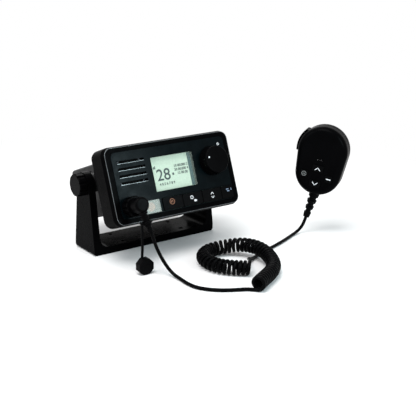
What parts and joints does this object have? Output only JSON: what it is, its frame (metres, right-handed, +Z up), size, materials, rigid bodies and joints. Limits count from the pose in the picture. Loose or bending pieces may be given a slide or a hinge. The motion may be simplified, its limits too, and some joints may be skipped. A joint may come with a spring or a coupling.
{
  "type": "vhf marine radio",
  "caption": "Panel-front marine radio in a tilting U bracket, with a fist microphone on a curly cord, a ring-nut plug and a tethered dust cap.",
  "frame": {"origin": "centre of the bracket foot's underside, which lies on the mounting surface", "axes": "+X to the viewer's right along the tilt axis, +Y from the front panel to the back, +Z up"},
  "size_m": [0.3292, 0.327, 0.1508],
  "materials": {
    "bracket_black": "satin moulded plastic",
    "rubber_black": "satin",
    "cast_black": "black paint on a casting",
    "brass_insert": "plain",
    "bright_steel": "zinc plated",
    "case_black": "fine grain",
    "panel_slate": "satin",
    "window": "clear",
    "display_green": "matt",
    "basket_steel": "painted",
    "cone_paper": "matt",
    "magnet_iron": "matt",
    "board_green": "satin",
    "tin_plate": "tinned",
    "bright_aluminium": "plain",
    "seal_grey": "matt",
    "key_rubber": "satin",
    "guard_smoke": "clear smoke",
    "alarm_orange": "gloss",
    "knob_black": "fine grain",
    "mic_black": "satin",
    "chrome_stud": "polished",
    "cord_black": "satin"
  },
  "bodies": {
    "bracket": {"mount_bracket": "bracket_black", "friction_washers": "rubber_black", "mic_front_shell": "mic_black", "mic_back_shell": "mic_black", "mic_seal": "seal_grey", "mic_screws": "bright_steel", "mic_hang_stud": "chrome_stud", "mic_board": "board_green", "mic_capsule": "bright_aluminium", "talk_switch": "board_green", "mic_key_mat": "key_rubber", "mic_strain_relief": "rubber_black", "curly_cord": "cord_black", "mic_lead": "cord_black", "radio_lead": "cord_black"},
    "radio": {"rear_chassis": "cast_black", "pivot_inserts": "brass_insert", "case_screws": "bright_steel", "front_housing": "case_black", "front_panel": "panel_slate", "lcd_window": "window", "lcd_module": "display_green", "speaker_basket": "basket_steel", "speaker_cone": "cone_paper", "speaker_magnet": "magnet_iron", "front_board": "board_green", "main_board": "board_green", "screening_can": "tin_plate", "power_amplifier": "bright_aluminium", "board_screws": "bright_steel", "aerial_socket": "brass_insert", "supply_gland": "rubber_black", "housing_gasket": "seal_grey", "key_mat": "key_rubber", "alarm_switch": "board_green", "encoder_body": "tin_plate", "mic_socket": "case_black", "plug_body": "knob_black", "plug_strain_relief": "rubber_black", "tether_ring": "rubber_black"},
    "left_knob": {"left_knob": "knob_black", "left_knob_screw": "bright_steel"},
    "right_knob": {"right_knob": "knob_black", "right_knob_screw": "bright_steel"},
    "encoder": {"encoder_shaft": "bright_aluminium"},
    "channel_knob": {"channel_knob": "knob_black"},
    "key_priority": {"key_priority": "key_rubber"},
    "key_mode": {"key_mode": "key_rubber"},
    "key_arrows": {"key_arrows": "key_rubber"},
    "key_menu": {"key_menu": "key_rubber"},
    "guard_flap": {"guard_flap": "guard_smoke"},
    "alarm_button": {"alarm_button": "alarm_orange"},
    "plug_nut": {"plug_nut": "knob_black"},
    "dust_cap": {"cap_tether": "rubber_black", "dust_cap": "rubber_black"},
    "talk_lever": {"talk_lever": "mic_black"},
    "mic_key_up": {"mic_key_up": "key_rubber"},
    "mic_key_down": {"mic_key_down": "key_rubber"},
    "mic_key_left": {"mic_key_left": "key_rubber"},
    "mic_key_right": {"mic_key_right": "key_rubber"}
  },
  "joints": [
    {"name": "tilt", "type": "hinge", "parent": "bracket", "child": "radio", "pos_m": [0, 0, 0.0891], "axis": [1, 0, 0], "range_deg": [-20, 15], "deforming": ["radio_lead"]},
    {"name": "left_knob_turn", "type": "hinge", "parent": "radio", "child": "left_knob", "pos_m": [-0.09, 0, 0.0891], "axis": [1, 0, 0], "range_deg": [0, 360]},
    {"name": "right_knob_turn", "type": "hinge", "parent": "radio", "child": "right_knob", "pos_m": [0.09, 0, 0.0891], "axis": [1, 0, 0], "range_deg": [-360, 0]},
    {"name": "encoder_turn", "type": "hinge", "parent": "radio", "child": "encoder", "pos_m": [0.0595, -0.06505, 0.11101], "axis": [0, -0.9354, 0.3535], "continuous": true},
    {"name": "knob_press", "type": "slide", "parent": "encoder", "child": "channel_knob", "axis": [0, 0.9354, -0.3535], "range_m": [0, 0.0008], "stiffness_N_per_m": 2000},
    {"name": "press_priority", "type": "slide", "parent": "radio", "child": "key_priority", "axis": [0, 0.9354, -0.3535], "range_m": [0, 0.0008], "stiffness_N_per_m": 1500},
    {"name": "press_mode", "type": "slide", "parent": "radio", "child": "key_mode", "axis": [0, 0.9354, -0.3535], "range_m": [0, 0.0008], "stiffness_N_per_m": 1500},
    {"name": "press_arrows", "type": "slide", "parent": "radio", "child": "key_arrows", "axis": [0, 0.9354, -0.3535], "range_m": [0, 0.0008], "stiffness_N_per_m": 1500},
    {"name": "press_menu", "type": "slide", "parent": "radio", "child": "key_menu", "axis": [0, 0.9354, -0.3535], "range_m": [0, 0.0008], "stiffness_N_per_m": 1500},
    {"name": "guard_lift", "type": "hinge", "parent": "radio", "child": "guard_flap", "pos_m": [-0.0423, -0.0783, 0.0785], "axis": [-1, 0, 0], "range_deg": [0, 90], "stiffness_Nm_per_rad": 0.02},
    {"name": "alarm_press", "type": "slide", "parent": "radio", "child": "alarm_button", "axis": [0, 0.9354, -0.3535], "range_m": [0, 0.0006], "stiffness_N_per_m": 1500},
    {"name": "plug_nut_turn", "type": "hinge", "parent": "radio", "child": "plug_nut", "pos_m": [-0.07, -0.07863, 0.07509], "axis": [0, -0.9354, 0.3535], "range_deg": [-90, 0]},
    {"name": "cap_swing", "type": "hinge", "parent": "radio", "child": "dust_cap", "pos_m": [-0.07339, -0.1105, 0.06136], "axis": [1, 0, 0], "range_deg": [-60, 40]},
    {"name": "talk_press", "type": "slide", "parent": "bracket", "child": "talk_lever", "axis": [0.5649, -0.8067, -0.1736], "range_m": [0, 0.0015], "stiffness_N_per_m": 1200},
    {"name": "mic_press_up", "type": "slide", "parent": "bracket", "child": "mic_key_up", "axis": [0.8192, 0.5736, 0], "range_m": [0, 0.0007], "stiffness_N_per_m": 1500},
    {"name": "mic_press_down", "type": "slide", "parent": "bracket", "child": "mic_key_down", "axis": [0.8192, 0.5736, 0], "range_m": [0, 0.0007], "stiffness_N_per_m": 1500},
    {"name": "mic_press_left", "type": "slide", "parent": "bracket", "child": "mic_key_left", "axis": [0.8192, 0.5736, 0], "range_m": [0, 0.0007], "stiffness_N_per_m": 1500},
    {"name": "mic_press_right", "type": "slide", "parent": "bracket", "child": "mic_key_right", "axis": [0.8192, 0.5736, 0], "range_m": [0, 0.0007], "stiffness_N_per_m": 1500}
  ]
}
